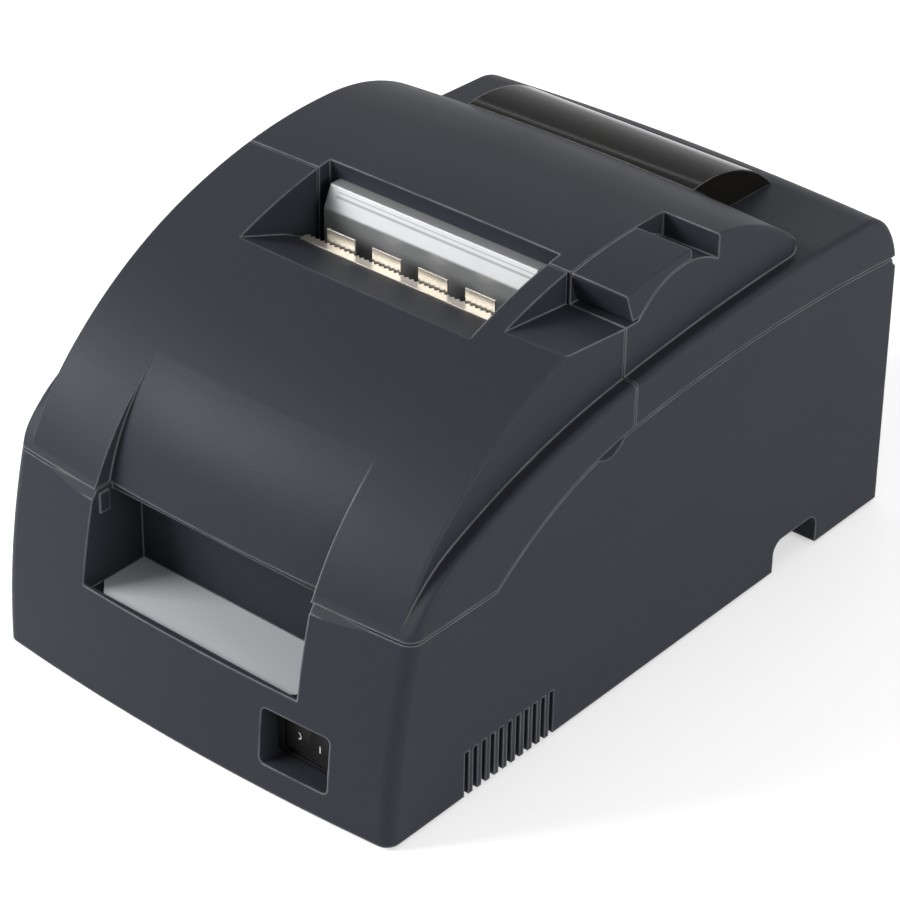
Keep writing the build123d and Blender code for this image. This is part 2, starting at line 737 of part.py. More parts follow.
def roll_cover():
    cover = shell & roll_space
    skin = outer & roll_space
    # set-back front edge behind the paper exit
    notch_x = (-exit_half_width, exit_half_width)
    back_wall = block((-exit_half_width - wall, exit_half_width + wall),
                      (roll_joint_y, notch_rear_y + wall), (panel_foot_z, over_z)) & skin
    cover += back_wall
    cover -= block(notch_x, (side_seam_y - 1, notch_rear_y), (panel_foot_z - 4 * wall, over_z))
    # front wall beside the lever
    cover += block((exit_half_width, lever_inner_x - lever_gap),
                   (roll_joint_y, roll_joint_y + wall), (panel_foot_z, over_z)) & skin
    # lever pocket
    liner_x = (lever_inner_x - lever_gap - wall, half_width)
    radius = lever_cap_radius - lever_gap
    cover += lever_pocket(radius - wall, wall, liner_x, lever_pocket_rear_y + wall) & skin
    cover -= lever_pocket(radius, 0, (lever_inner_x - lever_gap, half_width + 1),
                          lever_pocket_rear_y)
    stem_x, stem_y = lever_stem_place()
    swing_travel = radius * math.radians(lever_swing) + 1.0
    cover -= block((stem_x[0] - lever_gap, stem_x[1] + lever_gap),
                   (stem_y[0] - lever_gap, stem_y[1] + swing_travel), (scoop_rear_z - 6, over_z))
    for lug_x in lever_lugs():
        hanger = block(lug_x, (lever_pivot[0] - 4, lever_pivot[0] + 4),
                       (lever_pivot[1], over_z)) & rod_x(lever_pivot, radius - wall / 2, lug_x)
        cover += hanger + rod_x(lever_pivot, 4.0, lug_x)
        cover -= rod_x(lever_pivot, lever_pin_radius, lug_x)
    cover -= window_opening()
    # hinge ears, and room for the posts of the case
    ear = block(roll_ear_x, (roll_hinge[0] - roll_knuckle_radius, roll_hinge[0] + 1.4),
                (roll_hinge[1], roll_hinge[1] + 5.0))
    ear += rod_x(roll_hinge, roll_knuckle_radius, roll_ear_x)
    cover -= both_sides(rod_x(roll_hinge, roll_knuckle_radius + part_gap,
                              (roll_post_x[0] - part_gap, roll_post_x[1] + part_gap)))
    cover += both_sides(ear)
    cover -= both_sides(rod_x(roll_hinge, roll_pin_radius + running_gap, roll_ear_x))
    # ears of the pressure roller shaft
    for arm_x in pressure_arms:
        arm = block(arm_x, (pressure_centre[0], notch_rear_y + 0.5),
                    (pressure_centre[1] - 1.6, pressure_centre[1] + 1.6))
        arm += rod_x(pressure_centre, 2.6, arm_x)
        cover += arm - rod_x(pressure_centre, pressure_shaft_radius + running_gap, arm_x)
    return cover


def window():
    xs = (window_left_x, window_right_x)
    hollow_x = (window_left_x + window_wall, window_right_x - window_wall)
    dome = rod_x(window_centre, window_radius, xs)
    dome -= rod_x(window_centre, window_radius - window_wall, hollow_x)
    dome &= block(wide, (window_front_y, far_rear_y), (ridge_peak_z - 4, over_z))
    return dome - outer


def lever_stem_place():
    middle_x = (lever_inner_x + crown_half_width) / 2
    return (middle_x - 2.5, middle_x + 2.5), (-0.6, 5.4)


def lever_lugs():
    stem_x = lever_stem_place()[0]
    left = (stem_x[0] - part_gap - 3.0, stem_x[0] - part_gap)
    right = (stem_x[1] + part_gap, stem_x[1] + part_gap + 3.0)
    return left, right


def release_lever():
    top = crown_form(0.0)
    points = [(side_seam_y + 0.2, over_z), (side_seam_y + 0.2, lever_nose_z),
              (side_seam_y + 3.3, lever_under_z), (lever_rear_y, lever_under_z),
              (lever_rear_y, over_z)]
    cap = side_polygon(points, (lever_inner_x, half_width)) & top
    cap -= rod_x(lever_pivot, lever_cap_radius, wide)
    stem_x, stem_y = lever_stem_place()
    stem = side_polygon([(lever_pivot[0] - 3, lever_pivot[1]), (lever_pivot[0] + 3, lever_pivot[1]),
                         (stem_y[1], lever_under_z + 2), (stem_y[1], lever_under_z + 8),
                         (stem_y[0], lever_under_z + 8), (stem_y[0], lever_under_z + 2)], stem_x)
    boss = rod_x(lever_pivot, 4.0, stem_x)
    bore = rod_x(lever_pivot, lever_pin_radius + running_gap, wide)
    return cap + stem + boss - bore


def lever_pin():
    left, right = lever_lugs()
    return rod_x(lever_pivot, lever_pin_radius, (left[0] - 0.5, right[1] + 0.5))


# ---------------------------------------------------------------- base and case fittings


def base_plate():
    side = half_width - wall - seat_gap
    middle_y = (plate_front_y + plate_rear_y) / 2
    sheet = RectangleRounded(2 * side, plate_rear_y - plate_front_y, corner_radius)
    plate = Pos(0, middle_y, foot_height) * extrude(sheet, floor_thickness)
    top = foot_height + floor_thickness
    for x, y in screw_spots:
        plate -= rod_z((x, y), screw_radius + seat_gap, (0, top + 1))
        plate -= rod_z((x, y), 3.2, (0, foot_height + 1.2))
    for x, y in frame_screw_spots:
        plate += rod_z((x, y), post_radius, (top, frame_floor_z))
        plate -= rod_z((x, y), 1.25, (frame_floor_z - 9, frame_floor_z + 1))
    for x in (-40.0, 0.0, 40.0):
        for y in (board_y[0] + 12, board_y[1] - 6):
            plate += rod_z((x, y), 2.4, (top, board_z[0]))
    rib = block((bin_rib_x - 1, bin_rib_x + 1), (bin_centre[0] - 39.2, bin_centre[0] - 25.2),
                (top, bin_centre[1] - 13))
    rib -= rod_x(bin_centre, bin_radius + bin_wall + seat_gap, wide)
    return plate + both_sides(rib)


def rubber_feet():
    feet = [rod_z(place, foot_radius, (0, foot_height)) for place in foot_places]
    return Compound(children=feet)


def base_screws():
    screws = []
    for x, y in screw_spots:
        shank = rod_z((x, y), screw_pilot_radius - 0.02, (foot_height + 0.5, screw_length))
        screws.append(shank + rod_z((x, y), 3.0, (foot_height, foot_height + 1.2)))
    return Compound(children=screws)


def roll_hinge_pins():
    left = (-roll_post_x[1], -roll_ear_x[0])
    right = (roll_ear_x[0], roll_post_x[1])
    return Compound(children=[rod_x(roll_hinge, roll_pin_radius, xs) for xs in (left, right)])


# ---------------------------------------------------------------- key panel

def panel_overlay():
    """The film on the alcove's floor, with its two front corners cut."""
    side = alcove_half_width - panel_margin
    front, rear = alcove_rim_y + panel_margin, alcove_back_y - panel_margin
    outline = Polyline((-side, rear), (side, rear), (side, front + panel_corner),
                       (side - panel_corner, front), (panel_corner - side, front),
                       (-side, front + panel_corner), close=True)
    return Pos(0, 0, alcove_floor_z) * extrude(make_face(outline), panel_thickness)


def key_hole(margin):
    x, y = key_place
    return block((x - key_size[0] / 2 - margin, x + key_size[0] / 2 + margin),
                 (y - key_size[1] / 2 - margin, y + key_size[1] / 2 + margin),
                 (alcove_floor_z - wall - 1, alcove_floor_z - 0.1))


def feed_key():
    x, y = key_place
    flange = block((x - key_size[0] / 2 - 1, x + key_size[0] / 2 + 1),
                   (y - key_size[1] / 2 - 1, y + key_size[1] / 2 + 1),
                   (alcove_floor_z - wall - 2.0, alcove_floor_z - wall - part_gap))
    return key_hole(0) + flange


def panel_board():
    board = block(panel_board_x, (alcove_rim_y + 4, alcove_back_y), panel_board_z)
    for x in panel_post_x:
        board += rod_z((x, key_place[1]), 1.8, (panel_board_z[1], alcove_floor_z - wall))
    return board


def key_switch():
    x, y = key_place
    top = alcove_floor_z - wall - 2.0 - key_travel - 0.1
    body = block((x - 3, x + 3), (y - 3, y + 3), (panel_board_z[1], top - 0.8))
    return body + rod_z((x, y), 1.6, (top - 0.8, top))


def status_lights():
    lights = [rod_z((x, key_place[1]), light_radius, (panel_board_z[1], alcove_floor_z))
              for x in light_x]
    return Compound(children=lights)


# ---------------------------------------------------------------- power switch

def switch_bezel():
    middle_x = (switch_x[0] + switch_x[1]) / 2
    middle_z = (switch_z[0] + switch_z[1]) / 2
    width = switch_x[1] - switch_x[0] - 2 * seat_gap
    height = switch_z[1] - switch_z[0] - 2 * seat_gap
    face = RectangleRounded(width, height, 2.0 - seat_gap)
    frame = Pos(0, bezel_y[1], 0) * extrude(Plane.XZ * Pos(middle_x, middle_z) * face,
                                            bezel_y[1] - bezel_y[0])
    opening = block((rocker_x[0] - part_gap, rocker_x[1] + part_gap), (-140, 0),
                    (rocker_z[0] - part_gap, rocker_z[1] + part_gap))
    step = block((rocker_x[0] - 1.6, rocker_x[1] + 1.6), (-140, bezel_y[0] + 1.2),
                 (rocker_z[0] - 1.6, rocker_z[1] + 1.6))
    relief = rod_z(rocker_axis(), 1.2 + part_gap, (rocker_z[0] - 2.6, rocker_z[1] + 2.6))
    return frame - opening - step - relief


def rocker_axis():
    return ((rocker_x[0] + rocker_x[1]) / 2, bezel_y[0] + 6.5)


def power_rocker():
    """A shallow vee that rocks about an upright pin; its left wing is pressed."""
    x, y = rocker_axis()
    half = (rocker_x[1] - rocker_x[0]) / 2 - 0.4
    lean = math.radians(rocker_swing / 2)
    crest = 6.2
    points = []
    for along, out in ((-half, crest + 0.9), (0, crest), (half, crest + 0.9),
                       (half - 2.2, 0.5), (1.8, -1.6), (-1.8, -1.6), (-half + 2.2, 0.5)):
        points.append((x + along * math.cos(lean) - out * math.sin(lean),
                       y - out * math.cos(lean) - along * math.sin(lean)))
    face = make_face(Polyline(*points, close=True))
    body = Pos(0, 0, rocker_z[0]) * extrude(face, rocker_z[1] - rocker_z[0])
    return body - rod_z((x, y), 1.2 + running_gap, (0, 60))


def switch_body():
    x, y = rocker_axis()
    top = rocker_z[1] + 2.6
    low = rocker_z[0] - 2.6
    body = block((rocker_x[0] - 1.2, rocker_x[1] + 1.2), (bezel_y[1], bezel_y[1] + 13), (low, top))
    body -= block((rocker_x[0] - 0.2, rocker_x[1] + 0.2), (bezel_y[1] - 1, y + 3.0),
                  (rocker_z[0] - 0.3, rocker_z[1] + 0.3))
    body += rod_z((x, y), 1.2, (low + 1, top - 1))
    for terminal_x in (x - 6, x, x + 6):
        body += block((terminal_x - 0.4, terminal_x + 0.4), (bezel_y[1] + 13, bezel_y[1] + 19),
                      ((low + top) / 2 - 3, (low + top) / 2 + 3))
    return body


# ---------------------------------------------------------------- frame and carriage

def mech_frame():
    inner_x = frame_half_width - frame_sheet
    frame = block((-frame_half_width, frame_half_width), (frame_front_y, frame_rear_y),
                  (frame_floor_z, frame_floor_z + frame_sheet))
    crest = [(core_y + y, core_z + z) for y, z in cheek_crest]
    outline = [(frame_rear_y, frame_floor_z), (frame_front_y, frame_floor_z), *crest]
    cheek = side_polygon(outline, (inner_x, frame_half_width))
    window_hole = block(wide, cheek_hole_y, (frame_floor_z + 8, shelf_z - wall))
    cheek -= window_hole
    frame += both_sides(cheek)
    frame += both_sides(block((shelf_x, inner_x), shelf_y, (shelf_z, shelf_z + frame_sheet)))
    frame -= rod_x(shaft_centre, shaft_radius, wide)
    frame -= rod_x(feed_centre, feed_shaft_radius + running_gap, wide)
    frame -= rod_x(feed_motor_centre, 5.0, (-frame_half_width - 1, -inner_x + 1))
    frame -= rod_z((pulley_x, pulley_y), 4.0, (shelf_z - 1, shelf_z + 3))
    for x, y in frame_screw_spots:
        frame -= rod_z((x, y), 1.4, (frame_floor_z - 1, frame_floor_z + 3))
    return frame


def frame_screws():
    top = frame_floor_z + frame_sheet
    screws = []
    for x, y in frame_screw_spots:
        screws.append(rod_z((x, y), 1.2, (top - 8, top + 1)) + rod_z((x, y), 2.7, (top, top + 1.8)))
    return Compound(children=screws)


def carriage_shaft():
    return rod_x(shaft_centre, shaft_radius, (-frame_half_width - 1, frame_half_width + 1))


def carriage_rail():
    inner_x = frame_half_width - frame_sheet
    rail = block((-inner_x, inner_x), rail_y, rail_z)
    lip = block((-inner_x, inner_x), (rail_y[1] - 1.2, rail_y[1]), (rail_z[0] - 2.2, rail_z[0]))
    return rail + lip


def carriage():
    body = block((-carriage_half_width, carriage_half_width), carriage_y, carriage_z)
    body = fillet(body.edges().filter_by(Axis.X).group_by(Axis.Z)[-1], 2.0)
    foot = block((-12, 12), (carriage_y[1], rail_y[1] - 1),
                 (rail_z[1] + part_gap, head_centre_z - head_fin_radius - 0.5))
    strand = (pulley_y - pulley_radius - running_gap - belt_thickness,
              pulley_y - pulley_radius - running_gap)
    clamp = block((-8, 8), (strand[0] - 2, strand[1] + 2), (belt_z[0] - 2, carriage_z[0] + 4))
    clamp -= block((-9, 9), (strand[0] - part_gap, strand[1] + part_gap),
                   (belt_z[0] - part_gap, belt_z[1] + part_gap))
    body += foot + clamp
    body += block((-8, 8), (strand[0] - 2, carriage_y[0] + 1), (carriage_z[0], carriage_z[0] + 4))
    return body - rod_x(shaft_centre, shaft_radius + running_gap, wide)


def print_head():
    centre = (0.0, head_centre_z)
    head = rod_y(centre, head_radius, (carriage_y[1], head_rear_y))
    for index in range(head_fin_count):
        y = carriage_y[1] + 1.6 + index * 2.8
        head += rod_y(centre, head_fin_radius, (y, y + 1.2))
    nose = loft([Plane.XZ.offset(-head_rear_y + 0.5) * Pos(0, head_centre_z + 1) * Rectangle(12, 12),
                 Plane.XZ.offset(-head_nose_y) * Pos(0, head_centre_z + 1) * Rectangle(5, 8)])
    return head + nose


def carriage_motor():
    body = rod_z((pulley_x, pulley_y), motor_radius, (frame_floor_z + frame_sheet + 3, shelf_z))
    return body - rod_z((pulley_x, pulley_y), pulley_shaft_radius + running_gap,
                        (shelf_z - 8, shelf_z + 1))


def belt_pulley(x):
    pulley = rod_z((x, pulley_y), pulley_radius, pulley_z)
    for zs in ((pulley_z[0], belt_z[0] - 0.2), (belt_z[1] + 0.2, pulley_z[1])):
        pulley += rod_z((x, pulley_y), pulley_flange, zs)
    return pulley


def drive_pulley():
    return belt_pulley(pulley_x) + rod_z((pulley_x, pulley_y), pulley_shaft_radius,
                                         (shelf_z - 7, pulley_z[1] + 1))


def idler_pulley():
    bore = rod_z((-pulley_x, pulley_y), pulley_shaft_radius + running_gap, (0, 100))
    return belt_pulley(-pulley_x) - bore


def idler_pin():
    top = shelf_z + frame_sheet
    pin = rod_z((-pulley_x, pulley_y), pulley_shaft_radius, (top, pulley_z[1] + 1.5))
    return pin + rod_z((-pulley_x, pulley_y), 2.6, (top, pulley_z[0] - part_gap))


def carriage_belt():
    inner_radius = pulley_radius + running_gap
    length = 2 * pulley_x
    outside = SlotCenterToCenter(length, 2 * (inner_radius + belt_thickness))
    inside = SlotCenterToCenter(length, 2 * inner_radius)
    return Pos(0, pulley_y, belt_z[0]) * extrude(outside - inside, belt_z[1] - belt_z[0])


# ---------------------------------------------------------------- ribbon

def ribbon_cassette():
    side = cassette_half_width
    body = core_polygon([(-88.0, 88.5), (-88.5, 95.0), (-80.0, 100.0), (-38.0, 112.0),
                         (-35.0, 110.0), (-35.0, 101.0), (-44.0, 95.5), (-80.0, 87.5)],
                        (-side, side))
    tip_y = ribbon_y[0] - core_y
    arm = core_polygon([(-44.0, 95.5), (-35.0, 101.0), (-27.0, 95.0), (tip_y, 88.0),
                        (tip_y, 74.0), (-27.0, 74.0), (-33.0, 88.0)], (side - 6, side))
    ear = block((side - 1, frame_half_width - frame_sheet - part_gap), cassette_ear_y,
                cassette_ear_z)
    hollow = core_polygon([(-86.6, 85.0), (-86.6, 94.3), (-79.4, 98.5), (-38.4, 110.2),
                           (-36.6, 109.0), (-36.6, 97.0)], (-side + 1.6, side - 1.6))
    body = body - hollow + both_sides(arm + ear)
    return body - knob_axis_place() * Cylinder(2.0 + running_gap, 60)


def knob_axis_place():
    """Where the cassette's top and the knob's tilted axis meet."""
    x, y = knob_place
    z = core_z + 100.0 + (y - core_y + 80.0) * 12.0 / 42.0
    return Pos(x, y, z) * Rot(knob_tilt, 0, 0)


def ribbon_knob():
    knob = Pos(0, 0, 3.3) * Cylinder(knob_radius, 6.0)
    for index in range(12):
        knob -= Rot(0, 0, index * 30) * Pos(knob_radius + 0.5, 0, 3.3) * Cylinder(1.1, 8.0)
    return knob_axis_place() * (knob - Cylinder(2.0, 20))


def ribbon_drive():
    """Square-ended spindle that turns the take-up roll, with its small gear."""
    shaft = Pos(0, 0, -5.5) * Cylinder(2.0, 23.0)
    gear = Pos(0, 0, -16.0) * Cylinder(5.0, 2.0)
    return knob_axis_place() * (shaft + gear)


def ribbon():
    side = cassette_half_width
    return block((-side, side), ribbon_y, ribbon_z)


# ---------------------------------------------------------------- paper feed

def platen():
    inner_x = frame_half_width - frame_sheet - 0.1
    face = block((-inner_x, inner_x), platen_y, platen_z)
    return fillet(face.edges().filter_by(Axis.X).group_by(Axis.Y)[0], 0.8)


def gear_face(teeth, phase):
    """Straight-flanked teeth with backlash; the first tooth points along phase (degrees)."""
    pitch_radius = gear_module * teeth / 2
    step = 2 * math.pi / teeth
    marks = ((-0.29, pitch_radius - 1.1 * gear_module), (-0.1, pitch_radius + 0.8 * gear_module),
             (0.1, pitch_radius + 0.8 * gear_module), (0.29, pitch_radius - 1.1 * gear_module))
    points = []
    for tooth in range(teeth):
        for share, radius in marks:
            angle = math.radians(phase) + (tooth + share) * step
            points.append((radius * math.cos(angle), radius * math.sin(angle)))
    return make_face(Polyline(*points, close=True))


def gear_solid(teeth, centre, phase, bore):
    face = Pos(*centre) * gear_face(teeth, phase) - Pos(*centre) * Circle(bore)
    return side_prism(face, gear_x)


def pitch_distance(teeth, other):
    return gear_module * (teeth + other) / 2


def transfer_centre():
    """The transfer gear meshes with both the feed gear and the motor pinion."""
    span_y = feed_motor_centre[0] - feed_centre[0]
    span_z = feed_motor_centre[1] - feed_centre[1]
    span = math.hypot(span_y, span_z)
    upper = pitch_distance(transfer_teeth, feed_teeth)
    lower = pitch_distance(transfer_teeth, pinion_teeth)
    along = (span ** 2 + upper ** 2 - lower ** 2) / (2 * span)
    out = math.sqrt(max(upper ** 2 - along ** 2, 0))
    unit = (span_y / span, span_z / span)
    return (feed_centre[0] + along * unit[0] + out * unit[1],
            feed_centre[1] + along * unit[1] - out * unit[0])


def meshed_phase(centre, teeth, phase, other_centre, other_teeth):
    """The phase, in degrees, of a gear that meshes with another one."""
    line = math.degrees(math.atan2(other_centre[1] - centre[1], other_centre[0] - centre[0]))
    share = (line - phase) * teeth / 360
    return line + 180 - (0.5 - share) * 360 / other_teeth


def feed_gear():
    return gear_solid(feed_teeth, feed_centre, 0.0, feed_shaft_radius)


def transfer_phase():
    return meshed_phase(feed_centre, feed_teeth, 0.0, transfer_centre(), transfer_teeth)


def transfer_gear():
    return gear_solid(transfer_teeth, transfer_centre(), transfer_phase(), 2.0 + running_gap)


def transfer_pin():
    pin = rod_x(transfer_centre(), 2.0, (gear_x[0] - 1.2, -frame_half_width))
    return pin + rod_x(transfer_centre(), 3.4, (gear_x[1] + part_gap, -frame_half_width))


def feed_pinion():
    phase = meshed_phase(transfer_centre(), transfer_teeth, transfer_phase(),
                         feed_motor_centre, pinion_teeth)
    inner_x = frame_half_width - frame_sheet
    pinion = gear_solid(pinion_teeth, feed_motor_centre, phase, 1.0)
    return pinion + rod_x(feed_motor_centre, 1.5, (gear_x[0], 10.0 - inner_x))


def feed_motor():
    inner_x = frame_half_width - frame_sheet
    body = rod_x(feed_motor_centre, 12.5, (-inner_x, 22.0 - inner_x))
    boss = rod_x(feed_motor_centre, 4.9, (-frame_half_width - 0.6, -inner_x))
    return body + boss - rod_x(feed_motor_centre, 1.5 + running_gap, (-frame_half_width - 2, 11.0 - inner_x))


def feed_roller():
    return rod_x(feed_centre, feed_shaft_radius, (gear_x[0] - 0.5, frame_half_width + 1.5))


def feed_rubbers():
    sleeves = [rod_x(feed_centre, feed_rubber_radius, xs) - rod_x(feed_centre, feed_shaft_radius, xs)
               for xs in feed_rubber_x]
    return Compound(children=sleeves)


def pressure_shaft():
    return rod_x(pressure_centre, pressure_shaft_radius,
                 (pressure_arms[0][0] - 1.0, pressure_arms[-1][1] + 1.0))


def pressure_rollers():
    rollers = []
    for left, right in zip(pressure_arms, pressure_arms[1:]):
        xs = (left[1] + 0.7, right[0] - 0.7)
        rollers.append(rod_x(pressure_centre, pressure_radius, xs)
                       - rod_x(pressure_centre, pressure_shaft_radius, xs))
    return Compound(children=rollers)


# ---------------------------------------------------------------- paper exit

def exit_bridge():
    inner_x = frame_half_width - frame_sheet - 0.1
    bridge = block((-inner_x, inner_x), bridge_y, bridge_z)
    return bridge + block((-tear_half_width, tear_half_width), (tear_front_y, tear_edge_y),
                          (bridge_z[1], tear_z[0]))


def tear_bar():
    """Steel strip whose rear edge is cut into small teeth."""
    count = round(2 * tear_half_width / tear_pitch)
    root_y = tear_edge_y - tear_tooth
    points = [(-tear_half_width, tear_front_y), (-tear_half_width, root_y)]
    for index in range(count):
        left = -tear_half_width + index * tear_pitch
        points += [(left + tear_pitch / 2, tear_edge_y), (left + tear_pitch, root_y)]
    points.append((tear_half_width, tear_front_y))
    face = make_face(Polyline(*points, close=True))
    return Pos(0, 0, tear_z[0]) * extrude(face, tear_z[1] - tear_z[0])


def paper_guide():
    guide = block((-38.0, 38.0), guide_y, (bridge_z[1], bridge_z[1] + 3.0))
    for index in range(guide_tab_count):
        x = (index - (guide_tab_count - 1) / 2) * guide_tab_pitch
        guide += block((x - guide_tab_width / 2, x + guide_tab_width / 2), guide_y,
                       (bridge_z[1] + 3.0, guide_top_z))
    return guide


def paper_bar():
    y, z = bar_bend
    outline = [(notch_rear_y, bar_top[1]), bar_top, bar_bend, (y, bar_foot_z),
               (y + bar_sheet, bar_foot_z), (y + bar_sheet, z + 0.3),
               (bar_top[0] + bar_sheet * 0.8, bar_top[1] - bar_sheet),
               (notch_rear_y, bar_top[1] - bar_sheet)]
    bar = side_polygon(outline, (-bar_half_width, bar_half_width))
    bend = bar.edges().filter_by(Axis.X).filter_by(
        lambda e: abs(e.center().Y - y) < 0.01 and abs(e.center().Z - z) < 0.01)
    return fillet(bend, 1.5)


# ---------------------------------------------------------------- roll bin

def paper_bin():
    outer_radius = bin_radius + bin_wall
    side = bin_half_width
    tub = rod_x(bin_centre, outer_radius, (-side, side))
    tub -= rod_x(bin_centre, bin_radius, (-side + bin_wall, side - bin_wall))
    tub &= block(wide, (-200, 200), (0, bin_top_z))
    foot = block((bin_rib_x - 1, bin_rib_x + 1), (pocket_front_y, pocket_front_y + 16),
                 (pocket_top_z + wall, bin_centre[1]))
    foot -= rod_x(bin_centre, bin_radius + bin_wall / 2, wide)
    return tub + both_sides(foot)


# ---------------------------------------------------------------- boards and connectors

def main_board():
    board = block((-board_half_width, board_half_width), board_y, board_z)
    for x, y in frame_screw_spots:
        board -= rod_z((x, y), post_radius + part_gap, (0, 40))
    return board


def board_components():
    top = board_z[1]
    parts = [block((-12, 8), (-50, -30), (top, top + 2.6)),
             block((20, 32), (-40, -30), (top, top + 1.8)),
             block((-40, -30), (-14, 2), (top, top + 2.2)),
             block((36, 52), (-8, 0), (top, top + 7.0)),
             block((-54, -44), (-70, -48), (top, top + 8.0))]
    for x, y in ((-30.0, -62.0), (28.0, -60.0), (14.0, -8.0)):
        parts.append(rod_z((x, y), 4.5, (top, top + 11.0)))
    return Compound(children=parts)


def interface_plate():
    half = interface_half_width + 3
    plate = block((-half, half), (pocket_front_y, pocket_front_y + 1.0), (4.2, 29.6))
    plate -= rod_y((inlet_x, connector_z), inlet_radius, (0, 100))
    plate -= block((drawer_x - 7, drawer_x + 7), (0, 100), (connector_z - 7, connector_z + 7))
    plate -= block((data_x - data_size[0] / 2, data_x + data_size[0] / 2), (0, 100),
                   (connector_z - data_size[1] / 2, connector_z + data_size[1] / 2))
    for x in (data_x - jack_spread / 2, data_x + jack_spread / 2):
        plate -= rod_y((x, connector_z), 1.5, (0, 100))
    return plate


def power_inlet():
    ys = (pocket_front_y - 10, pocket_front_y + 3)
    body = rod_y((inlet_x, connector_z), inlet_radius, ys)
    body -= rod_y((inlet_x, connector_z), inlet_bore, (ys[1] - 11, ys[1] + 1))
    for angle in (90, 210, 330):
        x = inlet_x + 2.6 * math.cos(math.radians(angle))
        z = connector_z + 2.6 * math.sin(math.radians(angle))
        body += rod_y((x, z), 0.6, (ys[1] - 11.5, ys[1] - 5))
    return body


def drawer_socket():
    ys = (pocket_front_y - 10, pocket_front_y + 2)
    body = block((drawer_x - 7, drawer_x + 7), ys, (connector_z - 7, connector_z + 7))
    body -= block((drawer_x - 4.9, drawer_x + 4.9), (ys[1] - 9, ys[1] + 1),
                  (connector_z - 4.5, connector_z + 2.5))
    return body - block((drawer_x - 2, drawer_x + 2), (ys[1] - 9, ys[1] + 1),
                        (connector_z + 2, connector_z + 5))


def data_connector():
    ys = (pocket_front_y - 10, pocket_front_y + 6)
    half, tall = data_size[0] / 2, data_size[1] / 2
    body = block((data_x - half, data_x + half), ys,
                 (connector_z - tall, connector_z + tall))
    body -= block((data_x - half + 1, data_x + half - 1), (ys[1] - 5, ys[1] + 1),
                  (connector_z - tall + 1, connector_z + tall - 1))
    bar = block((data_x - half + 2, data_x + half - 2), (ys[1] - 6, ys[1] - 1),
                (connector_z - 1.2, connector_z + 1.2))
    return body + bar


def jack_screws():
    screws = []
    for x in (data_x - jack_spread / 2, data_x + jack_spread / 2):
        nut = Plane.XZ.offset(-pocket_front_y - 1.0) * Pos(x, connector_z) * RegularPolygon(2.8, 6)
        nut = extrude(nut, -5.0)
        shank = rod_y((x, connector_z), 1.4, (pocket_front_y - 4, pocket_front_y + 2))
        screws.append(nut + shank)
    return Compound(children=screws)


# ---------------------------------------------------------------- parts and export

makers = [lower_case, base_plate, rubber_feet, base_screws, front_cover, roll_cover, window,
          release_lever, lever_pin, roll_hinge_pins, panel_overlay, feed_key, key_switch,
          panel_board, status_lights, switch_bezel, switch_body, power_rocker, mech_frame,
          frame_screws, carriage_shaft, carriage_rail, carriage, print_head, carriage_motor,
          drive_pulley, idler_pulley, idler_pin, carriage_belt, ribbon_cassette, ribbon,
          ribbon_knob, ribbon_drive, platen, feed_roller, feed_rubbers, feed_gear, transfer_gear,
          transfer_pin, feed_motor, feed_pinion, pressure_shaft, pressure_rollers, paper_bar,
          tear_bar, exit_bridge, paper_guide, paper_bin, main_board, board_components,
          interface_plate, power_inlet, drawer_socket, data_connector, jack_screws]

if __name__ == "__main__":
    os.makedirs("parts", exist_ok=True)
    for make in makers:
        name = make.__name__
        solid = make()
        solid.label = name
        export_step(solid, f"parts/{name}.step")
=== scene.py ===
import math

import bmesh
import bpy
from mathutils import Matrix, Vector


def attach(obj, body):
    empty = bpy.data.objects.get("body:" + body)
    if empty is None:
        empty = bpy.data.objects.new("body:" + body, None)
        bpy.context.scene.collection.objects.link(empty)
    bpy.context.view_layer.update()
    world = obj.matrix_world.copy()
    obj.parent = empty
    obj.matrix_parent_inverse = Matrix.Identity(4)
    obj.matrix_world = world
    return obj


# The printer as it comes off the line: the machined and moulded parts arrive from CAD, and each
# section below finishes one of them, in the order in which the printer is put together.
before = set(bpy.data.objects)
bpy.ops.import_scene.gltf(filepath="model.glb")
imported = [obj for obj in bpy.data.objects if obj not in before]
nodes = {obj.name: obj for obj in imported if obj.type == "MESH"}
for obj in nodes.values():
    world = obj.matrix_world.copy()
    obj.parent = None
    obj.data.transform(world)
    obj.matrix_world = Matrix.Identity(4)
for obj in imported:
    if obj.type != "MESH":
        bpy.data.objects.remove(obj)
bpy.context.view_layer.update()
stage_scene = bpy.context.scene
stage_scene.view_settings.view_transform = "Standard"

# ---------------------------------------------------------------- viewpoint
# A long lens to the right of the front, a third of the way up, as in the product photograph.
# Its aim, distance and small shift were fitted to the body's corners.
camera_turn = math.radians(40.229)
camera_lift = math.radians(32.372)
camera_roll = math.radians(0.746)
camera_aim = Vector((0.000834, -0.010777, 0.0512))
camera_distance = 0.991648
back = Vector((math.sin(camera_turn) * math.cos(camera_lift),
               -math.cos(camera_turn) * math.cos(camera_lift), math.sin(camera_lift)))
across = Vector((math.cos(camera_turn), math.sin(camera_turn), 0))
upward = back.cross(across)
rolled_across = math.cos(camera_roll) * across + math.sin(camera_roll) * upward
rolled_upward = -math.sin(camera_roll) * across + math.cos(camera_roll) * upward
lens = bpy.data.cameras.new("product_lens")
lens.lens = 126.45
lens.sensor_width = 36.0
lens.shift_x = 0.0109
lens.shift_y = -0.0025
lens.clip_start = 0.01
camera = bpy.data.objects.new("product_camera", lens)
turn = Matrix((rolled_across, rolled_upward, back)).transposed().to_4x4()
camera.matrix_world = Matrix.Translation(camera_aim + camera_distance * back) @ turn
stage_scene.collection.objects.link(camera)
stage_scene.camera = camera

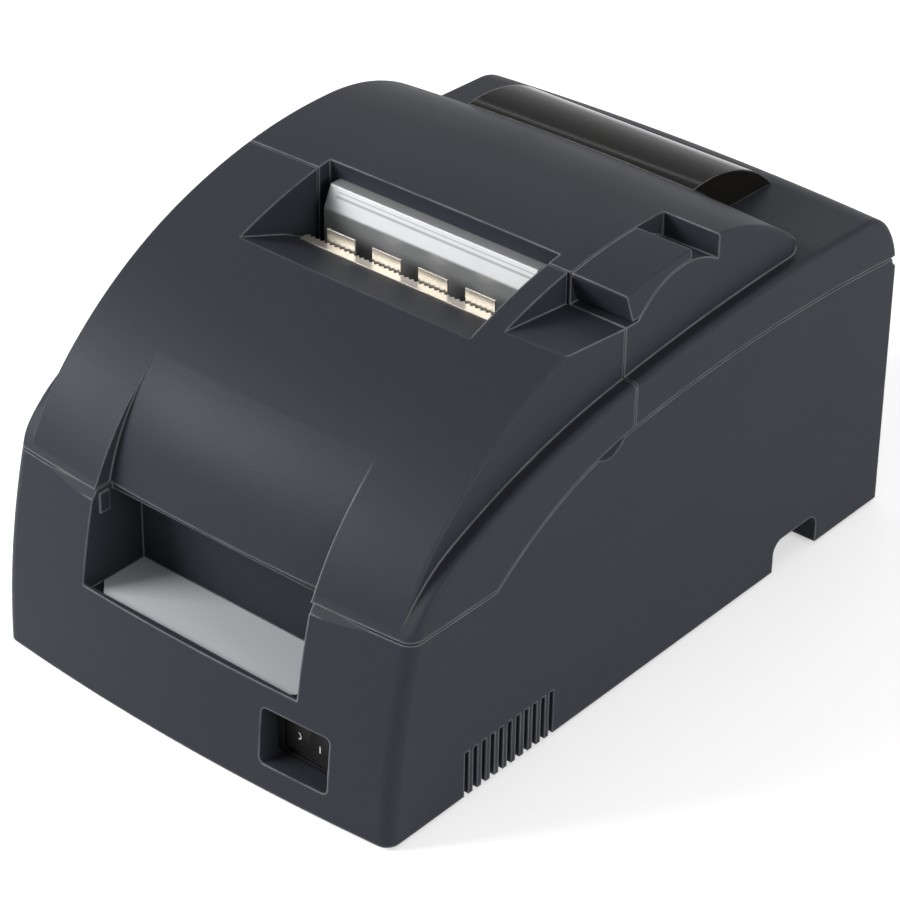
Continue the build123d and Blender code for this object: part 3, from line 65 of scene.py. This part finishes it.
# ---------------------------------------------------------------- studio
# A white sweep under two large soft boxes, a weak overhead one and a narrow strip behind, which
# draws a line of light along the smoked window. The room around is white.
# The floor is matt, so the printer only leaves a faint soft shadow on it.
room = bpy.data.worlds.new("white_room")
stage_scene.world = room
room.use_nodes = True
room_nodes = room.node_tree.nodes
room_links = room.node_tree.links
ray = room_nodes.new("ShaderNodeLightPath")
direct = room_nodes.new("ShaderNodeMath")
direct.operation = "MAXIMUM"
room_links.new(ray.outputs["Is Camera Ray"], direct.inputs[0])
room_links.new(ray.outputs["Is Transmission Ray"], direct.inputs[1])
seen = room_nodes.new("ShaderNodeMath")
seen.operation = "MAXIMUM"
room_links.new(direct.outputs[0], seen.inputs[0])
room_links.new(ray.outputs["Is Glossy Ray"], seen.inputs[1])
glow = room_nodes.new("ShaderNodeMapRange")
glow.inputs["To Min"].default_value = 0.34
glow.inputs["To Max"].default_value = 1.0
room_links.new(seen.outputs[0], glow.inputs["Value"])
sky = room_nodes["Background"]
sky.inputs["Color"].default_value = (1, 1, 1, 1)
room_links.new(glow.outputs["Result"], sky.inputs["Strength"])


def soft_box(name, place, size, watts):
    lamp = bpy.data.lights.new(name, "AREA")
    lamp.shape = "RECTANGLE"
    lamp.size, lamp.size_y = size
    lamp.energy = watts
    holder = bpy.data.objects.new(name, lamp)
    holder.location = place
    holder.rotation_euler = (camera_aim - Vector(place)).to_track_quat("-Z", "Y").to_euler()
    stage_scene.collection.objects.link(holder)


soft_box("left_box", (-0.85, -0.85, 0.7), (0.7, 0.5), 22.0)
soft_box("right_box", (1.2, -0.1, 0.4), (0.8, 0.6), 10.0)
soft_box("top_box", (0.1, 0.3, 1.4), (1.0, 0.8), 1.5)
soft_box("rear_strip", (-0.55, 0.85, 0.8), (1.8, 0.04), 1.0)

sweep_mesh = bmesh.new()
bmesh.ops.create_grid(sweep_mesh, x_segments=1, y_segments=1, size=4.0)
sweep_data = bpy.data.meshes.new("sweep")
sweep_mesh.to_mesh(sweep_data)
sweep_mesh.free()
sweep = bpy.data.objects.new("sweep", sweep_data)
stage_scene.collection.objects.link(sweep)
paper = bpy.data.materials.new("white_sweep")
paper.use_nodes = True
paper_shader = paper.node_tree.nodes["Principled BSDF"]
paper_shader.inputs["Base Color"].default_value = (0.86, 0.86, 0.86, 1)
paper_shader.inputs["Roughness"].default_value = 0.9
paper_shader.inputs["Specular IOR Level"].default_value = 0.1
paper_shader.inputs["Emission Color"].default_value = (1, 1, 1, 1)
paper_ray = paper.node_tree.nodes.new("ShaderNodeLightPath")
paper_seen = paper.node_tree.nodes.new("ShaderNodeMath")
paper_seen.operation = "MAXIMUM"
paper.node_tree.links.new(paper_ray.outputs["Is Camera Ray"], paper_seen.inputs[0])
paper.node_tree.links.new(paper_ray.outputs["Is Glossy Ray"], paper_seen.inputs[1])
paper_lift = paper.node_tree.nodes.new("ShaderNodeMapRange")
paper_lift.inputs["To Min"].default_value = 0.0
paper_lift.inputs["To Max"].default_value = 0.45
paper.node_tree.links.new(paper_seen.outputs[0], paper_lift.inputs["Value"])
paper.node_tree.links.new(paper_lift.outputs["Result"], paper_shader.inputs["Emission Strength"])
sweep_data.materials.append(paper)

# ---------------------------------------------------------------- lower case
# The housing is one injection moulding in charcoal ABS. Its tool was spark eroded, which leaves a
# fine even grain outside; edges that hands and desks touch are rubbed a little smoother, and a
# painted highlight lightens them, standing in for the light their rounded edges catch.


def node_group(name, inputs, outputs):
    """An empty shader group with its sockets; gives the group and its two end nodes."""
    group = bpy.data.node_groups.new(name, "ShaderNodeTree")
    for label, kind, value in inputs:
        socket = group.interface.new_socket(name=label, in_out="INPUT", socket_type=kind)
        socket.default_value = value
    for label, kind in outputs:
        group.interface.new_socket(name=label, in_out="OUTPUT", socket_type=kind)
    return group, group.nodes.new("NodeGroupInput"), group.nodes.new("NodeGroupOutput")


def math_node(tree, operation, first, second):
    """A Math node whose two inputs are sockets or numbers."""
    node = tree.nodes.new("ShaderNodeMath")
    node.operation = operation
    for index, value in enumerate((first, second)):
        if isinstance(value, bpy.types.NodeSocket):
            tree.links.new(value, node.inputs[index])
        else:
            node.inputs[index].default_value = value
    return node.outputs[0]


grain, grain_in, grain_out = node_group(
    "mould_grain", [("Scale", "NodeSocketFloat", 2200.0), ("Unevenness", "NodeSocketFloat", 0.3)],
    [("Height", "NodeSocketFloat")])
grain_place = grain.nodes.new("ShaderNodeTexCoord")
grain_cells = grain.nodes.new("ShaderNodeTexVoronoi")
grain_cells.feature = "SMOOTH_F1"
grain_clouds = grain.nodes.new("ShaderNodeTexNoise")
grain_clouds.inputs["Detail"].default_value = 3.0
for texture in (grain_cells, grain_clouds):
    grain.links.new(grain_place.outputs["Object"], texture.inputs["Vector"])
    grain.links.new(grain_in.outputs["Scale"], texture.inputs["Scale"])
grain_uneven = math_node(grain, "MULTIPLY", grain_clouds.outputs["Fac"],
                         grain_in.outputs["Unevenness"])
grain_height = math_node(grain, "ADD", grain_cells.outputs["Distance"], grain_uneven)
grain.links.new(grain_height, grain_out.inputs["Height"])

# Edge mask from a bevel normal, broken into patches. Where a material mixes its colour by it, it is
# a painted highlight along the edges, partly standing in for wear; it also softens edge roughness
# and rounds the edges' normals.
edges, edges_in, edges_out = node_group(
    "edge_wear_and_highlight", [("Radius", "NodeSocketFloat", 0.0006), ("Wear", "NodeSocketFloat", 0.5)],
    [("Mask", "NodeSocketFloat"), ("Normal", "NodeSocketVector")])
edges_bevel = edges.nodes.new("ShaderNodeBevel")
edges_bevel.samples = 6
edges.links.new(edges_in.outputs["Radius"], edges_bevel.inputs["Radius"])
edges_face = edges.nodes.new("ShaderNodeNewGeometry")
edges_dot = edges.nodes.new("ShaderNodeVectorMath")
edges_dot.operation = "DOT_PRODUCT"
edges.links.new(edges_bevel.outputs["Normal"], edges_dot.inputs[0])
edges.links.new(edges_face.outputs["Normal"], edges_dot.inputs[1])
edges_turned = math_node(edges, "SUBTRACT", 1.0, edges_dot.outputs["Value"])
edges_strong = math_node(edges, "MULTIPLY", edges_turned, 6.0)
edges_patches = edges.nodes.new("ShaderNodeTexNoise")
edges_patches.inputs["Scale"].default_value = 90.0
edges_spot = edges.nodes.new("ShaderNodeTexCoord")
edges.links.new(edges_spot.outputs["Object"], edges_patches.inputs["Vector"])
edges_wear_and_highlight = math_node(edges, "MULTIPLY", edges_strong, edges_patches.outputs["Fac"])
edges_amount = math_node(edges, "MULTIPLY", edges_wear_and_highlight, edges_in.outputs["Wear"])
edges_limit = math_node(edges, "MINIMUM", edges_amount, 1.0)
edges.links.new(edges_limit, edges_out.inputs["Mask"])
edges.links.new(edges_bevel.outputs["Normal"], edges_out.inputs["Normal"])

handling, handling_in, handling_out = node_group(
    "handling_marks", [("Scale", "NodeSocketFloat", 28.0), ("Amount", "NodeSocketFloat", 0.1)],
    [("Mask", "NodeSocketFloat")])
handling_place = handling.nodes.new("ShaderNodeTexCoord")
handling_clouds = handling.nodes.new("ShaderNodeTexNoise")
handling_clouds.inputs["Detail"].default_value = 5.0
handling.links.new(handling_place.outputs["Object"], handling_clouds.inputs["Vector"])
handling.links.new(handling_in.outputs["Scale"], handling_clouds.inputs["Scale"])
handling_middle = math_node(handling, "SUBTRACT", handling_clouds.outputs["Fac"], 0.5)
handling_mask = math_node(handling, "MULTIPLY", handling_middle, handling_in.outputs["Amount"])
handling.links.new(handling_mask, handling_out.inputs["Mask"])


def add_group(tree, group, **values):
    """A shader group placed in a material, with its own values."""
    node = tree.nodes.new("ShaderNodeGroup")
    node.node_tree = group
    for label, value in values.items():
        node.inputs[label.replace("_", " ")].default_value = value
    return node


def mix_colours(tree, mask, plain, changed):
    """Goes from the plain colour to the changed one as the mask goes from 0 to 1."""
    node = tree.nodes.new("ShaderNodeMix")
    node.data_type = "RGBA"
    tree.links.new(mask, node.inputs["Factor"])
    for socket, colour in ((node.inputs[6], plain), (node.inputs[7], changed)):
        if isinstance(colour, bpy.types.NodeSocket):
            tree.links.new(colour, socket)
        else:
            socket.default_value = (*colour, 1)
    return node.outputs[2]


def moulded_plastic(name, colour, painted_edge_colour, roughness, grain_scale, grain_depth, edge_radius):
    """Plastic with a spark-eroded grain, smoother edges lightened by a painted highlight, and uneven
    sheen.
    """
    material = bpy.data.materials.new(name)
    material.use_nodes = True
    tree = material.node_tree
    shader = tree.nodes["Principled BSDF"]
    shader.inputs["Specular IOR Level"].default_value = 0.06
    edge_wear_glint = add_group(tree, edges, Radius=edge_radius, Wear=1.0)
    texture = add_group(tree, grain, Scale=grain_scale, Unevenness=0.4)
    marks = add_group(tree, handling, Scale=26.0, Amount=0.16)
    # The edge colour mixed in here is a painted highlight along the edges, where rounded edges would
    # catch the light.
    tree.links.new(mix_colours(tree, edge_wear_glint.outputs["Mask"], colour, painted_edge_colour),
                   shader.inputs["Base Color"])
    sheen = math_node(tree, "ADD", marks.outputs["Mask"], roughness)
    smoother = math_node(tree, "MULTIPLY", edge_wear_glint.outputs["Mask"], -0.12)
    tree.links.new(math_node(tree, "ADD", sheen, smoother), shader.inputs["Roughness"])
    relief = tree.nodes.new("ShaderNodeBump")
    relief.inputs["Strength"].default_value = 0.35
    relief.inputs["Distance"].default_value = grain_depth
    tree.links.new(texture.outputs["Height"], relief.inputs["Height"])
    tree.links.new(edge_wear_glint.outputs["Normal"], relief.inputs["Normal"])
    tree.links.new(relief.outputs["Normal"], shader.inputs["Normal"])
    return material


def finish_nodes(material, *names):
    """Gives CAD nodes their real finish."""
    for name in names:
        for slot in nodes[name].material_slots:
            slot.material = material


# The pale edge colour is a painted highlight on the charcoal's edges.
charcoal = moulded_plastic("charcoal_abs", (0.025, 0.028, 0.035), (0.24, 0.245, 0.26), 0.42,
                           2300.0, 0.00008, 0.0011)
finish_nodes(charcoal, "lower_case")

# ---------------------------------------------------------------- base plate, feet and screws
# A flat moulding closes the case from below, held by zinc plated screws in the case's bosses.
# Feet are stamped from black rubber sheet and stuck on.
inside_charcoal = moulded_plastic("charcoal_abs_inside", (0.026, 0.028, 0.033), (0.06, 0.062, 0.067),
                                  0.58, 1500.0, 0.0001, 0.0004)
finish_nodes(inside_charcoal, "base_plate", "paper_bin")


def plain_rubber(name, colour, roughness):
    """Matt rubber with a bloom of dust in its pores."""
    material = bpy.data.materials.new(name)
    material.use_nodes = True
    tree = material.node_tree
    shader = tree.nodes["Principled BSDF"]
    shader.inputs["Specular IOR Level"].default_value = 0.3
    bloom = add_group(tree, handling, Scale=160.0, Amount=0.9)
    dusty = mix_colours(tree, bloom.outputs["Mask"], colour, (0.12, 0.12, 0.12))
    tree.links.new(dusty, shader.inputs["Base Color"])
    edge_wear_glint = add_group(tree, edges, Radius=0.0003, Wear=0.3)
    tree.links.new(math_node(tree, "ADD", edge_wear_glint.outputs["Mask"], roughness),
                   shader.inputs["Roughness"])
    tree.links.new(edge_wear_glint.outputs["Normal"], shader.inputs["Normal"])
    return material


black_rubber = plain_rubber("black_rubber", (0.02, 0.02, 0.021), 0.75)
finish_nodes(black_rubber, "rubber_feet", "feed_rubbers", "carriage_belt")


def bare_metal(name, colour, tarnish, roughness, brush, edge_radius, metallic=1.0):
    """Metal with rolling or grinding lines; brush gives the lines' scale on each axis."""
    material = bpy.data.materials.new(name)
    material.use_nodes = True
    tree = material.node_tree
    shader = tree.nodes["Principled BSDF"]
    shader.inputs["Metallic"].default_value = metallic
    place = tree.nodes.new("ShaderNodeTexCoord")
    stretch = tree.nodes.new("ShaderNodeMapping")
    stretch.inputs["Scale"].default_value = brush
    tree.links.new(place.outputs["Object"], stretch.inputs["Vector"])
    lines = tree.nodes.new("ShaderNodeTexNoise")
    lines.inputs["Detail"].default_value = 4.0
    tree.links.new(stretch.outputs["Vector"], lines.inputs["Vector"])
    marks = add_group(tree, handling, Scale=60.0, Amount=1.2)
    tree.links.new(mix_colours(tree, marks.outputs["Mask"], colour, tarnish),
                   shader.inputs["Base Color"])
    streaks = math_node(tree, "MULTIPLY", lines.outputs["Fac"], 0.22)
    tree.links.new(math_node(tree, "ADD", streaks, roughness - 0.1), shader.inputs["Roughness"])
    edge_wear_glint = add_group(tree, edges, Radius=edge_radius, Wear=0.2)
    relief = tree.nodes.new("ShaderNodeBump")
    relief.inputs["Strength"].default_value = 0.12
    relief.inputs["Distance"].default_value = 0.00005
    tree.links.new(lines.outputs["Fac"], relief.inputs["Height"])
    tree.links.new(edge_wear_glint.outputs["Normal"], relief.inputs["Normal"])
    tree.links.new(relief.outputs["Normal"], shader.inputs["Normal"])
    return material


zinc_screws = bare_metal("zinc_screws", (0.6, 0.6, 0.62), (0.4, 0.4, 0.4), 0.35,
                         (900.0, 900.0, 300.0), 0.00015)
finish_nodes(zinc_screws, "base_screws", "frame_screws")

# ---------------------------------------------------------------- mechanism frame
# The frame is folded from zinc plated sheet steel, with its rail and its platen welded across.
# Rolling lines run along the sheet; the plating is a dull grey with paler patches.
zinc_sheet = bare_metal("zinc_sheet", (0.52, 0.53, 0.55), (0.36, 0.37, 0.39), 0.42,
                        (40.0, 700.0, 700.0), 0.0003)
finish_nodes(zinc_sheet, "mech_frame", "carriage_rail", "platen", "interface_plate",
             "carriage_motor", "feed_motor")
ground_steel = bare_metal("ground_steel", (0.62, 0.62, 0.63), (0.45, 0.45, 0.45), 0.22,
                          (60.0, 2500.0, 2500.0), 0.0002)
finish_nodes(ground_steel, "carriage_shaft", "feed_roller", "idler_pin", "transfer_pin",
             "pressure_shaft", "lever_pin", "roll_hinge_pins", "tear_bar")

# ---------------------------------------------------------------- carriage and print head
# The carriage is a black acetal moulding that slides on the ground shaft. The head in it is a
# finned aluminium casting, and the belt's pulleys are moulded too.
black_acetal = moulded_plastic("black_acetal", (0.014, 0.014, 0.015), (0.03, 0.03, 0.032), 0.42,
                               3000.0, 0.00003, 0.0003)
finish_nodes(black_acetal, "carriage", "drive_pulley", "idler_pulley", "exit_bridge", "key_switch",
             "switch_body", "power_inlet", "drawer_socket", "board_components")
cast_aluminium = bare_metal("cast_aluminium", (0.5, 0.51, 0.52), (0.3, 0.3, 0.31), 0.55,
                            (900.0, 900.0, 900.0), 0.0003)
finish_nodes(cast_aluminium, "print_head")

# ---------------------------------------------------------------- ribbon
# A black cassette with its grey tension knob drops between the frame's cheeks. The inked ribbon
# is woven nylon, nearly black with a violet cast.
cassette_black = moulded_plastic("cassette_black", (0.02, 0.02, 0.022), (0.04, 0.04, 0.042), 0.46,
                                 2000.0, 0.00006, 0.0005)
finish_nodes(cassette_black, "ribbon_cassette")
knob_grey = moulded_plastic("knob_grey", (0.22, 0.24, 0.27), (0.3, 0.31, 0.33), 0.4,
                            2500.0, 0.00004, 0.0003)
finish_nodes(knob_grey, "ribbon_knob")
inked_cloth = bpy.data.materials.new("inked_cloth")
inked_cloth.use_nodes = True
inked_tree = inked_cloth.node_tree
inked_shader = inked_tree.nodes["Principled BSDF"]
inked_shader.inputs["Roughness"].default_value = 0.7
inked_place = inked_tree.nodes.new("ShaderNodeTexCoord")
inked_weave = inked_tree.nodes.new("ShaderNodeTexWave")
inked_weave.inputs["Scale"].default_value = 900.0
inked_weave.inputs["Distortion"].default_value = 1.0
inked_tree.links.new(inked_place.outputs["Object"], inked_weave.inputs["Vector"])
inked_tree.links.new(mix_colours(inked_tree, inked_weave.outputs["Fac"], (0.01, 0.008, 0.02),
                                 (0.03, 0.02, 0.06)), inked_shader.inputs["Base Color"])
finish_nodes(inked_cloth, "ribbon")

# ---------------------------------------------------------------- paper feed
# Gears and pressure rollers are natural acetal, the motor's pinion is brass, and the rubbers are
# pushed onto the ground feed shaft.
milky_acetal = moulded_plastic("milky_acetal", (0.66, 0.65, 0.6), (0.72, 0.71, 0.68), 0.38,
                               2600.0, 0.00002, 0.0002)
finish_nodes(milky_acetal, "feed_gear", "transfer_gear", "ribbon_drive", "pressure_rollers")
turned_brass = bare_metal("turned_brass", (0.62, 0.46, 0.2), (0.4, 0.28, 0.12), 0.3,
                          (60.0, 2000.0, 2000.0), 0.0001)
finish_nodes(turned_brass, "feed_pinion")

# ---------------------------------------------------------------- paper exit
# Nickel plated spring tabs stand behind a toothed steel strip, and a folded aluminium bar on the
# roll cover faces them. The bar was drawn lengthways, so its lines run across the printer, and
# the roller that folded it left two fine grooves under its top edge; they are not cut, their shade
# is painted on as two dark lines.
nickel_plate = bare_metal("nickel_plate", (0.45, 0.42, 0.37), (0.3, 0.27, 0.23), 0.33,
                          (400.0, 400.0, 400.0), 0.0003, 0.7)
finish_nodes(nickel_plate, "paper_guide", "jack_screws", "tear_bar")
drawn_aluminium = bare_metal("drawn_aluminium", (0.3, 0.305, 0.31), (0.24, 0.245, 0.25), 0.42,
                             (25.0, 1800.0, 1800.0), 0.0006, 0.5)
bar_tree = drawn_aluminium.node_tree
bar_shader = bar_tree.nodes["Principled BSDF"]
bar_place = bar_tree.nodes.new("ShaderNodeTexCoord")
bar_split = bar_tree.nodes.new("ShaderNodeSeparateXYZ")
bar_tree.links.new(bar_place.outputs["Object"], bar_split.inputs["Vector"])
bar_groove_shade = 0.0
# Two dark lines of painted shade, standing in for the shade inside the bar's two grooves.
for groove_z, groove_width in ((0.13005, 0.0003), (0.12865, 0.0007)):
    bar_away = math_node(bar_tree, "SUBTRACT", bar_split.outputs["Z"], groove_z)
    bar_away = math_node(bar_tree, "ABSOLUTE", bar_away, 0.0)
    bar_line = math_node(bar_tree, "LESS_THAN", bar_away, groove_width / 2)
    bar_groove_shade = math_node(bar_tree, "MAXIMUM", bar_line, bar_groove_shade)
bar_inset = math_node(bar_tree, "GREATER_THAN", bar_split.outputs["X"], -0.0375)
bar_groove_shade = math_node(bar_tree, "MULTIPLY", bar_groove_shade, bar_inset)
bar_plain = bar_shader.inputs["Base Color"].links[0].from_socket
bar_tree.links.new(mix_colours(bar_tree, bar_groove_shade, bar_plain, (0.17, 0.175, 0.18)),
                   bar_shader.inputs["Base Color"])
finish_nodes(drawn_aluminium, "paper_bar")

# ---------------------------------------------------------------- covers and lever
# Both covers and the release lever come from the same charcoal ABS as the housing.
# In the real printer they differ in how much they are handled; here they share its painted edge
# highlight.
finish_nodes(charcoal, "front_cover", "roll_cover", "release_lever")

# ---------------------------------------------------------------- smoked window
# The window over the paper roll is a clear acrylic moulding, dyed smoke brown, with polished
# faces. It is glued into the roll cover from above.
smoked_acrylic = bpy.data.materials.new("smoked_acrylic")
smoked_acrylic.use_nodes = True
smoked_tree = smoked_acrylic.node_tree
smoked_shader = smoked_tree.nodes["Principled BSDF"]
smoked_shader.inputs["Transmission Weight"].default_value = 0.3
smoked_shader.inputs["IOR"].default_value = 1.14
smoked_shader.inputs["Specular IOR Level"].default_value = 0.4
smoked_edge_highlight = add_group(smoked_tree, edges, Radius=0.0008, Wear=1.0)
# The window's edges are painted pale grey: a painted highlight for the light caught along its rims.
smoked_tree.links.new(mix_colours(smoked_tree, smoked_edge_highlight.outputs["Mask"],
                                  (0.012, 0.0105, 0.0095), (0.3, 0.3, 0.3)),
                      smoked_shader.inputs["Base Color"])
smoked_marks = add_group(smoked_tree, handling, Scale=45.0, Amount=0.05)
smoked_tree.links.new(math_node(smoked_tree, "ADD", smoked_marks.outputs["Mask"], 0.1),
                      smoked_shader.inputs["Roughness"])
smoked_tree.links.new(smoked_edge_highlight.outputs["Normal"], smoked_shader.inputs["Normal"])
finish_nodes(smoked_acrylic, "window")

# ---------------------------------------------------------------- key panel
# A grey polyester film covers the alcove's floor, printed on its back, so its face is even and
# slightly satin. The key and the light guides lie under it, over a small green board.
panel_film = moulded_plastic("panel_film", (0.46, 0.475, 0.49), (0.5, 0.51, 0.52), 0.45,
                             5000.0, 0.00002, 0.0002)
finish_nodes(panel_film, "panel_overlay", "feed_key")
light_guide = bpy.data.materials.new("light_guide")
light_guide.use_nodes = True
light_tree = light_guide.node_tree
light_shader = light_tree.nodes["Principled BSDF"]
light_shader.inputs["Transmission Weight"].default_value = 0.7
light_shader.inputs["Base Color"].default_value = (0.7, 0.75, 0.7, 1)
light_marks = add_group(light_tree, handling, Scale=300.0, Amount=0.2)
light_tree.links.new(math_node(light_tree, "ADD", light_marks.outputs["Mask"], 0.25),
                     light_shader.inputs["Roughness"])
finish_nodes(light_guide, "status_lights")
solder_mask = bpy.data.materials.new("solder_mask")
solder_mask.use_nodes = True
mask_tree = solder_mask.node_tree
mask_shader = mask_tree.nodes["Principled BSDF"]
mask_shader.inputs["Roughness"].default_value = 0.35
mask_place = mask_tree.nodes.new("ShaderNodeTexCoord")
mask_tracks = mask_tree.nodes.new("ShaderNodeTexBrick")
mask_tracks.inputs["Scale"].default_value = 260.0
mask_tracks.inputs["Color1"].default_value = (0.012, 0.1, 0.04, 1)
mask_tracks.inputs["Color2"].default_value = (0.014, 0.12, 0.05, 1)
mask_tracks.inputs["Mortar"].default_value = (0.03, 0.17, 0.07, 1)
mask_tree.links.new(mask_place.outputs["Object"], mask_tracks.inputs["Vector"])
mask_tree.links.new(mask_tracks.outputs["Color"], mask_shader.inputs["Base Color"])
finish_nodes(solder_mask, "main_board", "panel_board")

# ---------------------------------------------------------------- connectors
# The data connector's shell is pressed steel with bright plating.
# The other two sockets are the same black plastic as the switch body.
plated_shell = bare_metal("plated_shell", (0.5, 0.5, 0.48), (0.35, 0.35, 0.33), 0.3,
                          (500.0, 500.0, 500.0), 0.0003)
finish_nodes(plated_shell, "data_connector")

# ---------------------------------------------------------------- power switch
# Bezel and rocker are glossy black nylon. The off ring and the on bar are printed on the
# rocker's two wings in white.
glossy_nylon = moulded_plastic("glossy_nylon", (0.012, 0.012, 0.013), (0.03, 0.03, 0.032), 0.25,
                               4000.0, 0.00001, 0.0003)
finish_nodes(glossy_nylon, "switch_bezel", "power_rocker")
white_print = moulded_plastic("white_print", (0.7, 0.7, 0.68), (0.6, 0.6, 0.6), 0.5,
                              4000.0, 0.00001, 0.0001)
rocker_turn = math.radians(6.0)
rocker_rise = math.atan2(0.9, 8.9)


def rocker_mark(name, mesh, along):
    """Lays a flat mark on one of the rocker's two leaning wings."""
    side = math.copysign(1.0, along)
    outward = 0.0062 + abs(along) * math.tan(rocker_rise) + 0.00003
    mesh.transform(Matrix.Rotation(math.radians(90.0), 4, "X"))
    mesh.transform(Matrix.Rotation(side * rocker_rise, 4, "Z"))
    mesh.transform(Matrix.Translation((along, -outward, 0.0)))
    mesh.transform(Matrix.Rotation(-rocker_turn, 4, "Z"))
    mesh.transform(Matrix.Translation((0.0447, -0.112, 0.0193)))
    data = bpy.data.meshes.new(name)
    mesh.to_mesh(data)
    mesh.free()
    data.materials.append(white_print)
    mark = bpy.data.objects.new(name, data)
    stage_scene.collection.objects.link(mark)
    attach(mark, "power_rocker")
    return mark


ring_mesh = bmesh.new()
bmesh.ops.create_circle(ring_mesh, cap_ends=True, segments=40, radius=0.0012)
bmesh.ops.inset_region(ring_mesh, faces=ring_mesh.faces[:], thickness=0.0004, use_boundary=True)
ring_middle = min(ring_mesh.faces, key=lambda face: face.calc_center_median().length)
bmesh.ops.delete(ring_mesh, geom=[ring_middle], context="FACES_ONLY")
rocker_mark("off_ring", ring_mesh, -0.0046)
bar_mesh = bmesh.new()
bmesh.ops.create_grid(bar_mesh, x_segments=1, y_segments=1, size=0.5)
bmesh.ops.scale(bar_mesh, vec=(0.0004, 0.0024, 1.0), verts=bar_mesh.verts[:])
rocker_mark("on_bar", bar_mesh, 0.0046)
